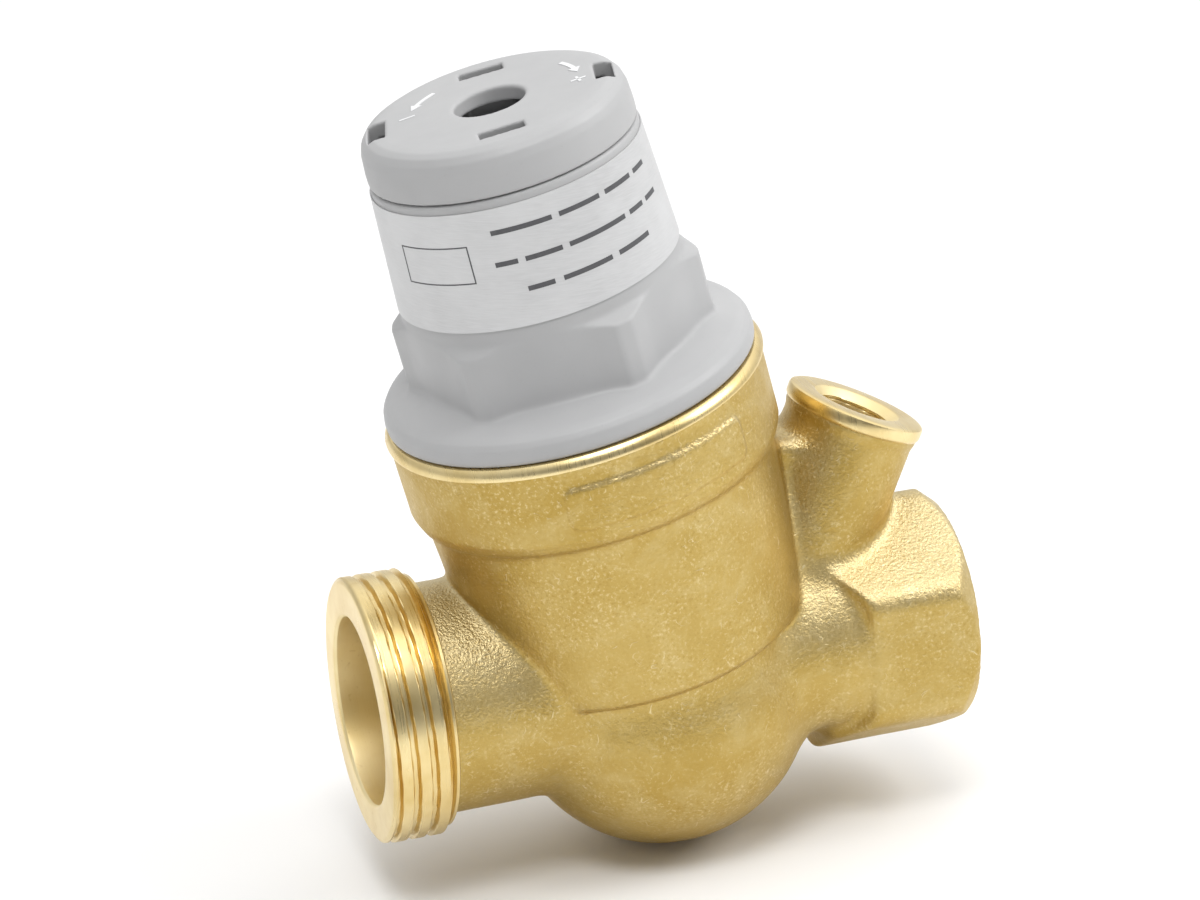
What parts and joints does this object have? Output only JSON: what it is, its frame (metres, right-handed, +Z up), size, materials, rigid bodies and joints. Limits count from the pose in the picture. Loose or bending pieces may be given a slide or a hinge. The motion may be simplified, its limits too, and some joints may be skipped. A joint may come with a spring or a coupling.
{
  "type": "water pressure regulator",
  "caption": "Compact diaphragm water pressure regulator with a leaning bonnet, union inlet, hexagon outlet and gauge port.",
  "frame": {"origin": "centre of the inlet union's end face, on the pipe axis", "axes": "+X along the pipe from inlet to outlet, +Z up in a level pipe run, -Y towards the side that carries the outlet's front flat; the bonnet leans 12 degrees from +Z towards -X"},
  "size_m": [0.0765, 0.0476, 0.1015],
  "materials": {
    "forged_brass": "matte, fine pebbled forging skin with small bright nicks; threads and faces machined bright",
    "turned_brass": "turned, semi-gloss",
    "grey_plastic": "matte moulded light grey",
    "label_foil": "satin silver-grey film",
    "steel": "satin stainless",
    "white_plastic": "moulded off-white",
    "rubber": "matte black"
  },
  "bodies": {
    "housing": {"valve_body": "forged_brass", "bonnet": "grey_plastic", "top_cap": "grey_plastic", "rating_label": "label_foil", "thrust_washer": "steel", "range_spring": "steel", "slip_ring": "white_plastic", "diaphragm": "rubber", "cartridge_cage": "white_plastic", "seat_ring": "steel", "cage_oring_lower": "rubber", "cage_oring_upper": "rubber", "cartridge_base": "white_plastic", "strainer_mesh": "steel", "strainer_frame": "white_plastic"},
    "screw": {"adjusting_screw": "steel", "screw_clip": "steel"},
    "nut": {"spring_nut": "turned_brass"},
    "valve_stem": {"stem": "turned_brass", "stem_washer": "steel", "stem_nut": "steel", "spring_plate": "steel", "diaphragm_support": "steel", "obturator": "turned_brass", "obturator_gasket": "rubber", "gasket_retainer": "steel", "piston_seal": "rubber"}
  },
  "joints": [
    {"name": "screw_turn", "type": "hinge", "parent": "housing", "child": "screw", "pos_m": [0.02428, 0, 0.06456], "axis": [-0.2079, 0, 0.9781], "range_deg": [-1081, 721]},
    {"name": "nut_travel", "type": "slide", "parent": "housing", "child": "nut", "axis": [-0.2079, 0, 0.9781], "range_m": [-0.00375, 0.0025], "deforming": ["range_spring"]},
    {"name": "stem_lift", "type": "slide", "parent": "housing", "child": "valve_stem", "axis": [-0.2079, 0, 0.9781], "range_m": [0, 0.0018], "stiffness_N_per_m": 12000, "springref_m": -0.004, "deforming": ["diaphragm"]}
  ],
  "couplings": [
    {"joint": "screw_turn", "follows": "nut_travel", "rad_per_m": 5026.5}
  ]
}
